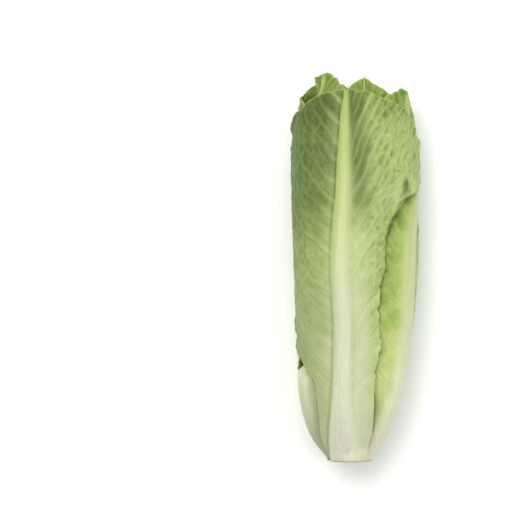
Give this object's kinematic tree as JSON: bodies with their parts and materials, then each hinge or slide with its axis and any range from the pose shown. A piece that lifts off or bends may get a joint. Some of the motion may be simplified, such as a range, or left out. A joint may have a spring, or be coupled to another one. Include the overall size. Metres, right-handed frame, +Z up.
{
  "type": "romaine heart",
  "caption": "Romaine lettuce heart lying on its side: a cut stem core with long ribbed leaves wrapped tightly round it.",
  "frame": {"origin": "on the surface the heart lies on, below the middle of its box", "axes": "+Y along the heart from the cut butt to the leaf tips, +Z up, +X to the right seen from above with the tips away"},
  "size_m": [0.0774, 0.24, 0.0678],
  "materials": {
    "stem": "moist cut plant tissue, browned at the cut",
    "outer_leaf": "waxy leaf, pale rib, green blade",
    "middle_leaf": "waxy leaf, pale rib, yellow-green blade",
    "inner_leaf": "waxy leaf, pale yellow"
  },
  "bodies": {
    "root": {"stem_core": "stem", "leaf_01": "outer_leaf", "leaf_02": "outer_leaf", "leaf_03": "outer_leaf", "leaf_04": "outer_leaf", "leaf_05": "outer_leaf", "leaf_06": "outer_leaf", "leaf_07": "middle_leaf", "leaf_08": "middle_leaf", "leaf_09": "middle_leaf", "leaf_10": "middle_leaf", "leaf_11": "middle_leaf", "leaf_12": "middle_leaf", "leaf_13": "inner_leaf", "leaf_14": "inner_leaf", "leaf_15": "inner_leaf", "leaf_16": "inner_leaf", "leaf_17": "inner_leaf", "leaf_18": "inner_leaf", "leaf_19": "inner_leaf"}
  },
  "joints": []
}
